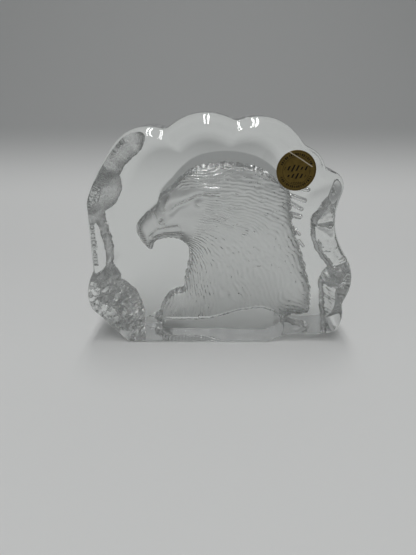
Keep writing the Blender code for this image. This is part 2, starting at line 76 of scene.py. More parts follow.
# The soft shoulder round the back edge, which fades out towards the foot
SHOULDER_WIDTH = 0.014
SHOULDER_FADE = 0.006
SHOULDER_SLOPE = 0.42
SHOULDER_LOW = 0.1
SHOULDER_RISE = 0.3
# The dark-tinted skins, painted shade: a flake's least depth that counts, how far the shaded line reaches
# down from the ridge, and the length of the clear gaps in the head's walls and the level of noise below
# which a wall is tinted dark
LEAST_FLAKE = 0.0004
RIDGE_SHADE_REACH = 0.0011
SPARKLE_LENGTH = 0.0018
SHADED_WALL_LEVEL = 0.45
# How many of a face's four corners make it frosted, chipped, ground or a head wall; the last three are
# tinted dark as painted shade
FINISH_CORNERS = (3, 3, 3, 2)
# Corners between the lobes, clockwise from the foot's left end: share of the width from the middle, share of
# the height, the bulge of the lobe that follows as a share of its chord, and the share of the largest radius
SCALLOPS = [
    (-0.356, 0.000, -0.01, 0.14), (-0.492, 0.164, 0.11, 0.18), (-0.470, 0.348, 0.00, 0.21),
    (-0.472, 0.644, 0.04, 0.24), (-0.362, 0.878, 0.17, 0.45), (-0.186, 0.936, 0.16, 1.00),
    (0.054, 0.970, 0.19, 1.00), (0.290, 0.874, 0.15, 0.70), (0.366, 0.782, 0.23, 0.52),
    (0.436, 0.698, -0.14, 0.39), (0.462, 0.428, 0.16, 0.27), (0.474, 0.190, 0.13, 0.21),
    (0.456, 0.048, 0.05, 0.17), (0.296, 0.042, -0.03, 0.15), (0.198, 0.000, 0.00, 0.14),
]
# Noise: sine waves in so many directions each turn, their lengths' spread, and what their sum is divided by
WAVE_DIRECTIONS = 5
WAVE_SPREAD = (0.7, 1.4)
WAVE_SUM = 3


def smooth_step(value):
    """0 below 0, 1 above 1, and an S curve between."""
    share = np.clip(value, 0, 1)
    return share * share * (3 - 2 * share)


def respaced(ring, count):
    """The closed ring as so many points at even distances along it, with all its columns."""
    closed = np.vstack([ring, ring[:1]])
    along = np.concatenate([[0], np.cumsum(np.hypot(*np.diff(closed[:, :2], axis=0).T))])
    places = np.arange(count) / count * along[-1]
    return np.column_stack([np.interp(places, along, column) for column in closed.T])


def softened(ring, reach):
    """An even ring with each value the Gaussian mean of its neighbours, with a spread of so many points."""
    offsets = np.arange(-3 * reach, 3 * reach + 1)
    weights = np.exp(-0.5 * (offsets / reach) ** 2)
    neighbours = (np.arange(len(ring))[:, None] + offsets) % len(ring)
    return (ring[neighbours] * (weights / weights.sum())[:, None]).sum(1)


def block_outline():
    """The rim from the front, and the front edge's radius along it as a third column.

    Parabolic lobes stand on their chords, softened in the notches and flat underneath.
    """
    lobes = []
    for (x0, z0, bulge, radius0), (x1, z1, _, radius1) in zip(SCALLOPS, SCALLOPS[1:] + SCALLOPS[:1]):
        start = np.array([x0 * BLOCK_WIDTH, z0 * BLOCK_HEIGHT, radius0 * FRONT_ROUND])
        step = np.array([x1 * BLOCK_WIDTH, z1 * BLOCK_HEIGHT, radius1 * FRONT_ROUND]) - start
        share = np.linspace(0, 1, LOBE_POINTS, endpoint=False)[:, None]
        arch = 4 * bulge * share * (1 - share)
        lobes.append(start + share * step + arch * np.array([-step[1], step[0], 0]))
    ring = respaced(np.concatenate(lobes), OUTLINE_POINTS)
    spacing = np.hypot(*(ring[1] - ring[0])[:2])
    off_foot = smooth_step(ring[:, 1:2] / (2 * NOTCH_SOFTNESS))
    ring = ring + (softened(ring, round(NOTCH_SOFTNESS / spacing)) - ring) * off_foot
    low, high = ring.min(0)[:2], ring.max(0)[:2]
    ring[:, :2] = (ring[:, :2] - low) / (high - low) * [BLOCK_WIDTH, BLOCK_HEIGHT] + [block_low.x, 0]
    return respaced(ring, OUTLINE_POINTS)


def on_ring(ring, place):
    """The ring's values at places from 0 to 1 round it, read between its points."""
    spot = (place % 1.0) * len(ring)
    before = np.floor(spot).astype(int)
    share = (spot - before)[..., None]
    return ring[before % len(ring)] * (1 - share) + ring[(before + 1) % len(ring)] * share


def square_rings(half):
    """A square grid seen as rings: each point's share of the way out from the middle, and its place round.

    The place runs from 0 to 1, a quarter of it along each side.
    """
    across, up = np.meshgrid(np.arange(-half, half + 1), np.arange(-half, half + 1), indexing="ij")
    ring = np.maximum(abs(across), abs(up))
    size = np.maximum(ring, 1)
    side = np.select([across == -ring, up == ring, across == ring], [0, 1, 2], 3)
    ahead = [up + size, across + size, size - up]
    along = np.select([side == 0, side == 1, side == 2], ahead, size - across)
    return ring / half, (side + np.clip(along / (2 * size), 0, 1)) / 4


def grid_rim(half):
    """Row numbers of the square grid's edge points, clockwise from the lower left corner."""
    last = 2 * half
    rise, stay = np.arange(last), np.full(last, last)
    column = np.concatenate([np.zeros(last, int), rise, stay, last - rise])
    row = np.concatenate([rise, stay, last - rise, np.zeros(last, int)])
    return column * (last + 1) + row


def line_distance(x, z, points, closed=False):
    """Distance to a line of points, and the upward share of the way to its nearest spot.

    A closed line's distances are negative outside it. A place is inside where a ray from it to the right
    crosses an odd count of the line's edges.
    """
    starts = np.array(points, float)
    ends = np.roll(starts, -1, 0)
    if not closed:
        starts, ends = starts[:-1], ends[:-1]
    nearest, lift, inside = np.full(x.shape, 1e9), np.zeros(x.shape), np.zeros(x.shape, bool)
    for (x0, z0), (x1, z1) in zip(starts, ends):
        run, climb = x1 - x0, z1 - z0
        share = np.clip(((x - x0) * run + (z - z0) * climb) / (run * run + climb * climb), 0, 1)
        away_x, away_z = x0 + share * run - x, z0 + share * climb - z
        gap = np.hypot(away_x, away_z)
        lift = np.where(gap < nearest, away_z / (gap + 1e-9), lift)
        nearest = np.minimum(nearest, gap)
        if climb:
            inside ^= ((z0 > z) != (z1 > z)) & (x < x0 + (z - z0) * run / climb)
    return (np.where(inside, nearest, -nearest) if closed else nearest), lift


def waves(x, z, seed, length, turns=3):
    """Smooth noise of about -1 to 1: sine waves in random directions, each turn half as long and as high."""
    dice = np.random.default_rng(seed)
    total = np.zeros(x.shape)
    for octave in range(turns):
        for _ in range(WAVE_DIRECTIONS):
            angle, phase = dice.uniform(0, math.tau), dice.uniform(0, math.tau)
            rate = math.tau / length * 2**octave * dice.uniform(*WAVE_SPREAD)
            total += 0.5**octave * np.sin(rate * (x * math.cos(angle) + z * math.sin(angle)) + phase)
    return total / WAVE_SUM


# The broken flakes, in millimetres: depth and width of the steep wall along the footprint's edge, slope of
# the facet that goes on from it, roughness, the turn of its ripples in degrees, and then the footprint on
# the back face, which runs out past the rim and overlaps its neighbours there
FLAKES = [
    (28, 5.5, 0.3, 0.14, 40, [
        (-72, 74), (-49.4, 81.3), (-46.3, 86.0), (-42.1, 89.9), (-37.5, 93.2), (-35.6, 97.5),
        (-36.4, 101.5), (-40, 106), (-60, 108)]),
    (29, 6.0, 0.3, 0.24, 340, [
        (-72, 92), (-52, 83), (-49.4, 81.3), (-48.7, 76.6), (-49.5, 72.6), (-51.3, 68.6), (-54.5, 65.5),
        (-57.9, 62.8), (-72, 55)]),
    (29, 3.5, 0.3, 0.30, 0, [(-72, 76), (-56, 66), (-57.6, 62.8), (-57.4, 58), (-61, 56.5), (-72, 50)]),
    (22, 0.8, 0.0, 0.02, 0, [
        (-72, 62), (-58.5, 61), (-57.3, 56.7), (-55.8, 50), (-55.3, 44.9), (-55.7, 38), (-57.5, 35),
        (-72, 29)]),
    (22.6, 0.6, 0.0, 0.11, 90, [(-72, 66), (-60.0, 64), (-59.6, 52), (-59.8, 38), (-72, 33)]),
    (29, 7.0, 0.4, 0.40, 20, [
        (-72, 44), (-57.0, 37.0), (-54.2, 31.8), (-52.5, 29.2), (-52.6, 26.0), (-52.0, 20), (-72, 6)]),
    (28, 9.0, 0.4, 0.34, 37, [
        (-72, 36), (-52.6, 26.0), (-48.9, 24.1), (-45.6, 21.0), (-43.0, 16.3), (-41.4, 11.6), (-41.0, 7.8),
        (-40.5, 4.2), (-41.0, -8), (-72, -8)]),
    (15, 0.8, 0.74, 0.06, 40, [
        (78, 76.5), (61, 76.5), (58.5, 75.5), (55.8, 72.4), (52.1, 67.8), (49.1, 62.6), (47.4, 58.8),
        (47.5, 57.0), (78, 49)]),
    (8, 1.0, 0.6, 0.03, 0, [
        (78, 65), (47.5, 57.0), (48.2, 51.9), (49.3, 47.6), (51.9, 42.2), (54.6, 38.8), (56.7, 36.1),
        (58.3, 33.8), (78, 27)]),
    (24, 6.0, 0.3, 0.34, 120, [
        (78, 46), (60, 38), (58.3, 33.8), (56.2, 30.4), (54.3, 26.9), (54.3, 24.6), (78, 9)]),
    (7, 1.0, 0.8, 0.095, 60, [
        (78, 34), (54.3, 26), (55.6, 19.4), (56.4, 13.4), (57.2, 7.4), (58.2, 2.5), (60, -8), (78, -8)]),
]
# The deepest bite, and the depth over which a flake's roughness comes in, in millimetres
FLAKE_LIMIT = 30
ROUGH_FROM = 3
# The footprints' edges waver by so many millimetres, with waves of so many metres
WOBBLE = 0.3
WOBBLE_LENGTH = 0.009
# Ripples: length in millimetres, height as a share of the roughness, and how far and how slowly they bend
RIPPLE_LENGTH = 1.7
RIPPLE_SHARE = 0.8
RIPPLE_BEND = 2
RIPPLE_BEND_LENGTH = 0.011
# Lengths of the flakes' coarse and fine bumps, in metres
COARSE_BUMPS = 0.004
FINE_BUMPS = 0.0018
# A flake rougher than the first value is tinted dark as painted shade all over, and of these one smoother
# than the second has hardly any clear shards. On the others only the wall is tinted dark, and a margin past
# it.
ROUGHEST_CLEAR = 0.1
LEAST_SHARD_ROUGHNESS = 0.2
WALL_MARGIN = 0.3
# Clear shards: their length, the level of noise above which skin is clear, the height where that holds, and
# how much the level rises per metre up
SHARD_LENGTH = 0.0042
SHARD_LEVEL = 0.35
SHARD_HEIGHT = 0.03
SHARD_RISE = 22
# The broken lower back edge: where its ridge runs, as place across, height, and depth from the back face
RIDGE = [
    (-0.0410, 0.0023, 0.0), (-0.0380, 0.0042, 0.0), (-0.0347, 0.0035, 0.0), (-0.0318, 0.0047, 0.002),
    (-0.0308, 0.0060, 0.009), (-0.0245, 0.0058, 0.0115), (-0.0143, 0.0057, 0.0115),
    (-0.0043, 0.0063, 0.0115), (0.0026, 0.0084, 0.0118), (0.0105, 0.0112, 0.0122),
    (0.0192, 0.0128, 0.0125), (0.0241, 0.0128, 0.0125), (0.0301, 0.0107, 0.0122), (0.0343, 0.0074, 0.0110),
    (0.0370, 0.0036, 0.005), (0.0390, 0.0021, 0.0), (0.0470, 0.0021, 0.0), (0.0570, 0.0032, 0.0),
]
RIDGE_SLOPE = 0.2
RIDGE_WAVES = 0.0002
RIDGE_WAVE_LENGTH = 0.012


def flake_depth(x, z):
    """How far the flakes bite in, and where their skin is tinted dark as painted shade.

    Each flake is a steep wall from its footprint's edge and then a facet, and the deepest one counts. Noise
    and sine ripples, which bend with slower noise, roughen it. Steep walls and all of the rough flakes are
    tinted dark as painted shade, but for clear shards where noise is high, of which there are more towards
    the foot.
    """
    depth, roughness, ripples = np.zeros(x.shape), np.zeros(x.shape), np.zeros(x.shape)
    shaded_skin = np.zeros(x.shape, bool)
    across = x / MILLIMETRE + waves(x, z, seed=31, length=WOBBLE_LENGTH) * WOBBLE
    up = z / MILLIMETRE + waves(x, z, seed=32, length=WOBBLE_LENGTH) * WOBBLE
    bend = waves(x, z, seed=33, length=RIPPLE_BEND_LENGTH, turns=2) * RIPPLE_BEND
    for wall_depth, wall_width, slope, rough, turn, footprint in FLAKES:
        inward = np.maximum(line_distance(across, up, footprint, closed=True)[0], 0)
        wall = wall_depth * np.clip(inward / wall_width, 0, 1)
        bite = wall + slope * np.maximum(inward - wall_width, 0)
        along = across * math.cos(math.radians(turn)) + up * math.sin(math.radians(turn))
        wave = np.sin(math.tau * along / RIPPLE_LENGTH + bend)
        deeper = bite > depth
        shaded_skin = np.where(deeper, (inward < wall_width + WALL_MARGIN) | (rough > ROUGHEST_CLEAR), shaded_skin)
        roughness = np.where(deeper, rough, roughness)
        ripples = np.where(deeper, rough * wave, ripples)
        depth = np.maximum(depth, bite)
    level = SHARD_LEVEL + (z - SHARD_HEIGHT) * SHARD_RISE + (roughness < LEAST_SHARD_ROUGHNESS)
    shaded_skin &= waves(x, z, seed=41, length=SHARD_LENGTH) < level
    bumps = waves(x, z, seed=3, length=COARSE_BUMPS) + 0.5 * waves(x, z, seed=5, length=FINE_BUMPS, turns=2)
    rough = roughness * bumps + ripples * RIPPLE_SHARE
    depth = np.minimum(depth + rough * np.clip(depth / ROUGH_FROM, 0, 1), FLAKE_LIMIT)
    return np.maximum(depth, 0) * MILLIMETRE, shaded_skin


def ridge_depth(x, z):
    """The lower back edge's bevel, which starts at the ridge's own depth and slopes forwards to the foot."""
    across, height, depth = np.array(RIDGE).T
    top = np.interp(x, across, height, left=-1, right=-1)
    start = np.interp(x, across, depth)
    rough = waves(x, z, seed=11, length=RIDGE_WAVE_LENGTH, turns=2) * RIDGE_WAVES
    return np.where(z < top, start + (top - z) * RIDGE_SLOPE + rough, 0)


# The sunk head, in millimetres across from the middle and up from the foot. Its outline runs clockwise from
# the beak's tip; the nape and the edges of the neck are ragged with feather tips.
EAGLE_OUTLINE = [
    (-35.0, 42.6), (-37.5, 43.4), (-40.0, 46.5), (-42.1, 50.3), (-42.8, 54.0), (-42.0, 56.9), (-39.9, 59.7),
    (-37.2, 62.6), (-33.9, 65.3), (-31.6, 67.6), (-30.8, 69.8), (-29.7, 72.9), (-27.1, 76.1), (-23.8, 79.2),
    (-20.6, 82.8), (-16.8, 86.3), (-13.0, 88.8), (-8.1, 90.8), (-2.0, 91.9), (5.4, 92.2), (11.5, 91.5),
    (17.7, 90.0), (22.7, 87.6), (26.6, 84.9), (31.5, 80.4), (35.0, 75.5), (37.4, 70.0), (36.6, 68.3),
    (37.9, 65.2), (36.8, 63.6), (38.6, 60.5), (37.9, 57.6), (41.4, 51.6), (40.0, 50.4), (43.4, 45.3),
    (42.8, 44.0), (45.5, 38.9), (44.9, 37.6), (47.3, 33.8), (46.6, 31.6), (49.2, 27.0), (48.8, 25.6),
    (51.0, 20.8), (50.0, 19.3), (51.4, 15.6), (50.4, 14.4), (51.4, 11.2), (50.0, 7.4), (46.5, 6.6),
    (44.8, 5.8), (41.5, 6.2), (39.0, 5.0), (37.0, 4.6), (36.0, 1.5), (-32.5, 1.5), (-32.0, 8.2),
    (-31.2, 11.3), (-29.2, 15.2), (-27.3, 18.0), (-24.9, 19.9), (-22.2, 21.0), (-19.0, 21.6), (-18.2, 23.5),
    (-18.3, 26.9), (-17.6, 28.2), (-17.6, 31.0), (-16.5, 32.6), (-16.6, 35.0), (-15.5, 37.0), (-15.4, 42.0),
    (-16.2, 44.8), (-18.4, 47.3), (-21.5, 48.8), (-25.8, 49.2), (-30.3, 48.2), (-33.0, 47.0), (-34.2, 45.4),
]
# The hollow's depth, how much less of it there is on the beak, how far its bottom domes in from the walls,
# and how much more it does under the crown
HEAD_DEPTH = 11.0
BEAK_RISE = 3.0
DOME_RISE = 2.2
CROWN_DOME_RISE = 0.2
# The dome's width, and how much narrower it is on the beak and wider under the crown
DOME_WIDTH = 13
BEAK_DOME_LESS = 8
CROWN_DOME_MORE = 6
# The walls: width, how far they waver, and the clear bevel in front of them, which is widest over the crown.
# The frost starts at a share of the way to the wall's end.
WALL_WIDTH = 0.9
WALL_WAVER = 0.2
WALL_WAVER_LENGTH = 3.2
EDGE_BEVEL = 0.4
CROWN_BEVEL = 4.8
BEVEL_SLOPE = 0.56
FROST_START = 0.97
# The walls' dark tint, painted shade: how far before a wall it starts, how much sooner it does under the
# crown, and there also how far past the wall it goes on, and how far and at what length both its edges waver
LINE_START = 0.1
CROWN_LINE_START = 0.3
CROWN_LINE_WIDTH = 0.5
JAG = 0.5
JAG_LENGTH = 2.4
# Where the crown starts and is whole, upwards, and the same for the beak, towards the left and upwards
CROWN_FROM, CROWN_WHOLE = 58, 83
BEAK_FROM, BEAK_WHOLE = -24, -33
BEAK_LOW, BEAK_LOW_WHOLE = 40, 45
# The way the feathers lie: place, downward angle in degrees, length, width and lift in millimetres
FEATHER_LIE = [
    (-22, 80, -38, 8.4, 1.3, 0.35), (-5, 87, -12, 11.2, 1.4, 0.5), (8, 88, 0, 11.2, 1.5, 0.6),
    (20, 84, 12, 11.2, 1.6, 0.6), (30, 76, 22, 10.0, 1.7, 0.5), (25, 68, 15, 9.0, 1.8, 0.4),
    (-18, 58, -5, 12.6, 1.2, 0.15), (-5, 58, 8, 12.6, 1.2, 0.15), (0, 70, 3, 11.2, 1.3, 0.15),
    (12, 66, 8, 9.0, 1.5, 0.2), (4, 53, 28, 5.0, 1.7, 0.3), (12, 49, 42, 3.6, 2.2, 0.45),
    (28, 55, 32, 5.0, 2.1, 0.35), (34, 60, 28, 7.0, 2.0, 0.3), (18, 40, 58, 3.8, 2.2, 0.45),
    (32, 40, 52, 5.0, 2.2, 0.3), (40, 45, 48, 6.4, 2, 0.25), (44, 30, 52, 7.4, 2.1, 0.2),
    (8, 32, 74, 6.0, 2.0, 0.3), (-8, 48, 40, 9.0, 1.4, 0.25), (-14, 40, 62, 8.4, 1.4, 0.25),
    (-14, 30, 80, 8.4, 1.4, 0.25), (-6, 30, 90, 9.2, 1.6, 0.25), (-5, 12, 92, 12.6, 1.7, 0.15),
    (-25, 13, 108, 11.2, 1.6, 0.15), (15, 14, 80, 12.6, 2.0, 0.15), (30, 15, 60, 11.2, 2.0, 0.15),
    (46, 14, 30, 8.4, 1.8, 0.2),
]
FEATHER_SEED = 7
FEATHER_REACH = 12
FEATHER_JITTER = 0.3
JITTER_CELLS = 64
LIFT_SOFTNESS = 8
# A feather as a tile, in feather lengths and widths: its start, root, tip and half width, and the shares of
# its height that rise to the tip and that round off across it
TILE_START = 0.2
TILE_ROOT = -0.6
TILE_TIP = 1.1
TILE_HALF_WIDTH = 0.8
TILE_RISE = 0.7
TILE_ROUND = 0.3
# Rises and hollows: centre, half width, half height and rise in millimetres, and turn in degrees. The first
# are the swells of the head and neck; the second the forehead, eye socket, eye, nostril and two crown locks.
SWELLS = [(2, 72, 22, 16, 2.2, 0), (14, 36, 22, 26, 3.0, 0), (-6, 52, 14, 9, 1.0, 0)]
FACE_MOUNDS = [
    (-25.5, 69.5, 3.5, 5.0, 1.2, -40), (-11.5, 67.0, 8.0, 4.2, -1.3, 20), (-9.8, 68.0, 2.2, 2.1, 1.6, 0),
    (-29.6, 59.4, 1.3, 0.7, -0.9, 25), (-9.5, 79.5, 6.0, 6.0, 1.3, 20), (10.0, 80.5, 6.5, 6.0, 1.4, -10),
]
# The brow, the groove under it, the mouth, the jaw and the edge of the beak's skin: half width and rise in
# millimetres, and the places they run through
FACE_LINES = [
    (2.6, 1.2, [(-27.5, 66.5), (-24.0, 70.5), (-17.0, 71.5), (-9.5, 74.0), (-2.0, 74.3)]),
    (1.4, -0.9, [
        (-24.0, 63.2), (-20.2, 66.6), (-16.8, 67.9), (-13.5, 69.9), (-10.2, 71.4), (-6.1, 71.7),
        (-1.0, 71.2)]),
    (1.2, -0.8, [(-35.0, 50.5), (-31.5, 53.6), (-27.0, 55.0), (-21.2, 56.0)]),
    (1.3, -0.9, [(-33.0, 49.4), (-27.5, 51.3), (-20.0, 51.6)]),
    (0.7, -0.5, [(-33.5, 64.0), (-32.2, 61.0), (-31.2, 57.8), (-29.6, 56.6), (-27.6, 57.2)]),
]
FACE_FADE = 3
# Loose feather tips behind the nape, cut as shallow clear grooves: ends, half width and depth in millimetres
NAPE_TIPS = [
    ((36.0, 71.0), (44.0, 68.2), 0.9, 1.6), ((35.5, 67.8), (42.6, 63.8), 0.8, 1.6),
    ((37.0, 61.4), (42.0, 60.0), 1.2, 2.0), ((40.0, 74.2), (45.2, 73.6), 0.9, 1.5),
    ((40.0, 53.6), (42.6, 50.6), 0.6, 1.2), ((42.5, 47.4), (45.0, 44.4), 0.6, 1.2),
]
# The bare beak: its middle, and how far from it feathers start and are whole
FACE_CENTRE = (-26, 58)
FEATHERS_FROM, FEATHERS_WHOLE = 11, 19
# The bare skin round the eye: its right edge and how soft that is, and the same for its bottom and its top
BARE_RIGHT, BARE_RIGHT_FADE = -3, 8
BARE_BOTTOM, BARE_BOTTOM_FADE = 59, 5
BARE_TOP, BARE_TOP_FADE = 77, 3


def rounded_through(points, pieces):
    """A closed Catmull-Rom curve through the points, each stretch in so many pieces."""
    knots = np.array(points, float)
    before, here, after, beyond = (np.roll(knots, shift, 0) for shift in (1, 0, -1, -2))
    square, cube = 2 * before - 5 * here + 4 * after - beyond, 3 * here - before - 3 * after + beyond
    stretches = []
    for share in np.arange(pieces) / pieces:
        bend = square * share**2 + cube * share**3
        stretches.append(0.5 * (2 * here + (after - before) * share + bend))
    return np.stack(stretches, 1).reshape(-1, 2)


def mound(x, z, x0, z0, half_width, half_height, rise, turn):
    """A Gaussian rise or hollow with its own half lengths and turn."""
    cosine, sine = math.cos(math.radians(turn)), math.sin(math.radians(turn))
    along = ((x - x0) * cosine + (z - z0) * sine) / half_width
    over = ((z - z0) * cosine - (x - x0) * sine) / half_height
    return rise * np.exp(-along * along - over * over)


def feather_count(x, z, across):
    """How many feathers lie between the middle and each place, counted along the feathers or across them.

    It is the smooth function whose gradient at each named place has that place's direction, and one over
    the feather's length or width as its size: a mean gradient plus a pull from each place that fades with
    distance.
    """
    lie = np.array(FEATHER_LIE, float)
    count = len(lie)
    angle = np.radians(lie[:, 2]) + (math.pi / 2 if across else 0)
    slopes = np.column_stack([np.cos(angle), -np.sin(angle)]) / lie[:, 4 if across else 3, None]
    mean = slopes.mean(0)
    gap = lie[:, None, :2] - lie[None, :, :2]
    size = np.sqrt((gap**2).sum(-1) + FEATHER_REACH**2)[..., None, None]
    pull = np.eye(2) / size - gap[..., :, None] * gap[..., None, :] / size**3
    pull = pull.transpose(0, 2, 1, 3).reshape(2 * count, 2 * count)
    weights = np.linalg.lstsq(pull, (slopes - mean).ravel(), rcond=1e-4)[0]
    total = mean[0] * x + mean[1] * z
    for (x0, z0), (weight_x, weight_z) in zip(lie[:, :2], weights.reshape(-1, 2)):
        distance = np.sqrt((x - x0) ** 2 + (z - z0) ** 2 + FEATHER_REACH**2)
        total = total + (weight_x * (x - x0) + weight_z * (z - z0)) / distance
    return total


def feather_relief(x, z, seed):
    """Feathers laid like roof tiles along the two feather counts, each one rising to its rounded tip.

    A place is under the feather whose tip's parabola it hasn't passed, and of those under the one on top.
    """
    along, over = feather_count(x, z, False), feather_count(x, z, True)
    dice = np.random.default_rng(seed)
    jitter = dice.uniform(-FEATHER_JITTER, FEATHER_JITTER, (2, JITTER_CELLS, JITTER_CELLS))
    height, top = np.zeros(x.shape), np.full(x.shape, 1e9)
    for row_step in (-1, 0, 1):
        row = np.floor(over) + row_step
        shift = 0.5 * (row % 2)
        for column_step in (-1, 0, 1):
            column = np.floor(along - shift) + column_step
            spot = (row % JITTER_CELLS).astype(int), (column % JITTER_CELLS).astype(int)
            start = column + jitter[0][spot]
            ahead = along - shift - column - TILE_START - jitter[0][spot]
            aside = over - row - 0.5 - 0.5 * jitter[1][spot]
            under_tip = (np.abs(aside) < TILE_HALF_WIDTH) & (ahead < TILE_TIP - TILE_TIP * aside**2)
            covered = under_tip & (ahead > TILE_ROOT) & (start < top)
            height = np.where(covered, TILE_RISE * ahead + TILE_ROUND * (1 - aside**2), height)
            top = np.where(covered, start, top)
    return height * feather_lift(x, z)


def feather_lift(x, z):
    """How high the feathers' tips stand: a mean of the named places, weighted by one over distance cubed."""
    total, weights = 0, 0
    for x0, z0, *_, lift in FEATHER_LIE:
        weight = 1 / (np.hypot(x - x0, z - z0) ** 3 + LIFT_SOFTNESS)
        total, weights = total + weight * lift, weights + weight
    return total / weights


def feathered_share(x, z):
    """1 where feathers grow, and 0 on the beak and round the eye, with soft borders."""
    bare = smooth_step((BARE_RIGHT - x) / BARE_RIGHT_FADE)
    bare = bare * smooth_step((z - BARE_BOTTOM) / BARE_BOTTOM_FADE)
    bare = bare * smooth_step((BARE_TOP - z) / BARE_TOP_FADE)
    from_beak = np.hypot(x - FACE_CENTRE[0], z - FACE_CENTRE[1])
    return smooth_step((from_beak - FEATHERS_FROM) / (FEATHERS_WHOLE - FEATHERS_FROM)) * (1 - bare)


def head_relief(x_metres, z_metres):
    """Depth of the sunk head from the back face, where it is frosted, and where its walls are tinted dark as
    painted shade.

    A clear bevel leads in from the outline, wider over the crown, and a steep wall drops from it. Inside
    the wall a frosted dome rounds off to the full depth, and the face, its lines and the feathers are added
    on it.
    """
    x, z = x_metres / MILLIMETRE, z_metres / MILLIMETRE
    inward, lift = line_distance(x, z, rounded_through(EAGLE_OUTLINE, 2), closed=True)
    on_beak = smooth_step((BEAK_FROM - x) / (BEAK_FROM - BEAK_WHOLE))
    on_beak = on_beak * smooth_step((z - BEAK_LOW) / (BEAK_LOW_WHOLE - BEAK_LOW))
    upward = np.clip(lift, 0, 1)
    high = smooth_step((z - CROWN_FROM) / (CROWN_WHOLE - CROWN_FROM))
    on_crown = upward * high
    bevel_width = EDGE_BEVEL + CROWN_BEVEL * upward**1.5 * high * (inward > 0)
    wall_end = bevel_width + WALL_WIDTH
    waver = waves(x, z, seed=21, length=WALL_WAVER_LENGTH, turns=2) * WALL_WAVER
    bevel = np.clip(inward / bevel_width, 0, 1)
    wall = np.clip((inward - bevel_width + waver) / WALL_WIDTH, 0, 1)
    bottom = wall >= 1

    full = HEAD_DEPTH - BEAK_RISE * on_beak + sum(mound(x, z, *row) for row in SWELLS)
    start = full - DOME_RISE - CROWN_DOME_RISE * on_crown
    bevel_depth = BEVEL_SLOPE * bevel_width
    dome_width = DOME_WIDTH - BEAK_DOME_LESS * on_beak + CROWN_DOME_MORE * on_crown
    share = np.clip((inward - wall_end) / dome_width, 0, 1)
    dome = share * (2 - share)
    depth = bevel_depth * bevel + (start - bevel_depth) * wall + (full - start) * dome * bottom

    face = sum(mound(x, z, *row) for row in FACE_MOUNDS)
    for half_width, rise, points in FACE_LINES:
        face = face + rise * np.exp(-((line_distance(x, z, points)[0] / half_width) ** 2))
    depth = depth + face * smooth_step(inward / FACE_FADE) * bottom
    feathers = feather_relief(x, z, FEATHER_SEED) * feathered_share(x, z)
    depth = depth + feathers * smooth_step(inward - wall_end)
    for start_point, end_point, half_width, groove in NAPE_TIPS:
        gap = line_distance(x, z, [start_point, end_point])[0]
        depth = np.maximum(depth, groove * np.sqrt(np.clip(1 - (gap / half_width) ** 2, 0, 1)))

    # The walls' dark tint is painted shade; it runs between two jagged edges, sooner and wider under the
    # crown
    jagged = waves(x, z, seed=22, length=JAG_LENGTH, turns=2) * JAG
    shaded_wall = inward > bevel_width - LINE_START + (jagged - CROWN_LINE_START) * on_crown
    shaded_wall &= inward <= wall_end + (CROWN_LINE_WIDTH + jagged) * on_crown
    return depth * MILLIMETRE, inward > wall_end * FROST_START, shaded_wall


def back_relief(x, z, from_rim):
    """How far in front of the back plane the back lies, where it is broken, and its four rough finishes.

    The deepest of the head, the flakes, the lower edge's bevel and the soft shoulder counts. Each finish is
    where its own form is the deepest: frosted, chipped, ground and the head's walls. The last three are
    tinted dark as painted shade, and the chipped tint also runs as a shaded line along the ridge's top.
    """
    head, frosted, shaded_wall = head_relief(x, z)
    (flakes, shaded_skin), ridge = flake_depth(x, z), ridge_depth(x, z)
    past = np.maximum(SHOULDER_WIDTH - from_rim, 0)
    shoulder = np.where(past < SHOULDER_FADE, past**2 / (2 * SHOULDER_FADE), past - SHOULDER_FADE / 2)
    shoulder = SHOULDER_SLOPE * shoulder * smooth_step((z / BLOCK_HEIGHT - SHOULDER_LOW) / SHOULDER_RISE)
    broken = np.maximum(flakes, ridge)
    on_head = head >= np.maximum(broken, shoulder)
    shaded_wall &= on_head & (waves(x, z, seed=51, length=SPARKLE_LENGTH, turns=2) < SHADED_WALL_LEVEL)
    chipped_and_shaded = shaded_skin & (flakes > LEAST_FLAKE) & (flakes >= np.maximum(head, ridge))
    ground_and_shaded = (ridge > 0) & (ridge > np.maximum(flakes, head))
    # Painted shade: a strip along the ridge's top takes the chipped skin's dark tint as a shaded line
    ridge_shade_line = ground_and_shaded & (ridge_depth(x, z + RIDGE_SHADE_REACH) == 0)
    finishes = frosted & on_head, chipped_and_shaded | ridge_shade_line, ground_and_shaded & ~ridge_shade_line, shaded_wall
    return np.maximum(np.maximum(head, broken), shoulder), broken > shoulder, finishes


def side_rings(outline, rounding, edge_place, back_y):
    """Rings of points down the side from the back's edge, and round the front edge to the flat face.

    The side draws in a little towards the front, by a parabola, and the front edge is a quarter circle whose
    end eases into the face by a cube.
    """
    tangent = np.roll(outline, -1, 0) - np.roll(outline, 1, 0)
    normals = np.column_stack([-tangent[:, 1], tangent[:, 0]]) / np.hypot(*tangent.T)[:, None]
    outward = on_ring(softened(normals, NORMAL_SOFTNESS), edge_place)
    outward /= np.hypot(*outward.T)[:, None]
    rim = on_ring(outline, edge_place)
    radius = on_ring(rounding, edge_place)[:, 0]
    off_foot = smooth_step(rim[:, 1] / BLOCK_HEIGHT * BULGE_FADE)
    loops = []
    for share in SIDE_SHARES:
        y = back_y + (FRONT_Y + radius - back_y) * share
        forward = 2 * np.clip((BACK_Y - y) / (BLOCK_THICKNESS - radius), 0, 1) - 1
        loops.append((y, SIDE_BULGE * forward**2 * (forward > 0) * off_foot))
    side_inset = loops[-1][1]
    for angle in np.linspace(0, math.pi / 2, ROUND_STEPS + 1)[1:]:
        turned = 1 - math.cos(angle)
        inset = side_inset + radius * (turned + ROUND_EASE * turned**3)
        loops.append((FRONT_Y + radius * (1 - math.sin(angle)), inset))
    loops.append((loops[-1][0], inset + FLAT_STRIP))
    rings = []
    for y, inset in loops:
        ring = rim - outward * inset[:, None]
        rings.append(np.column_stack([ring[:, 0], y, np.maximum(ring[:, 1], 0)]))
    return rings


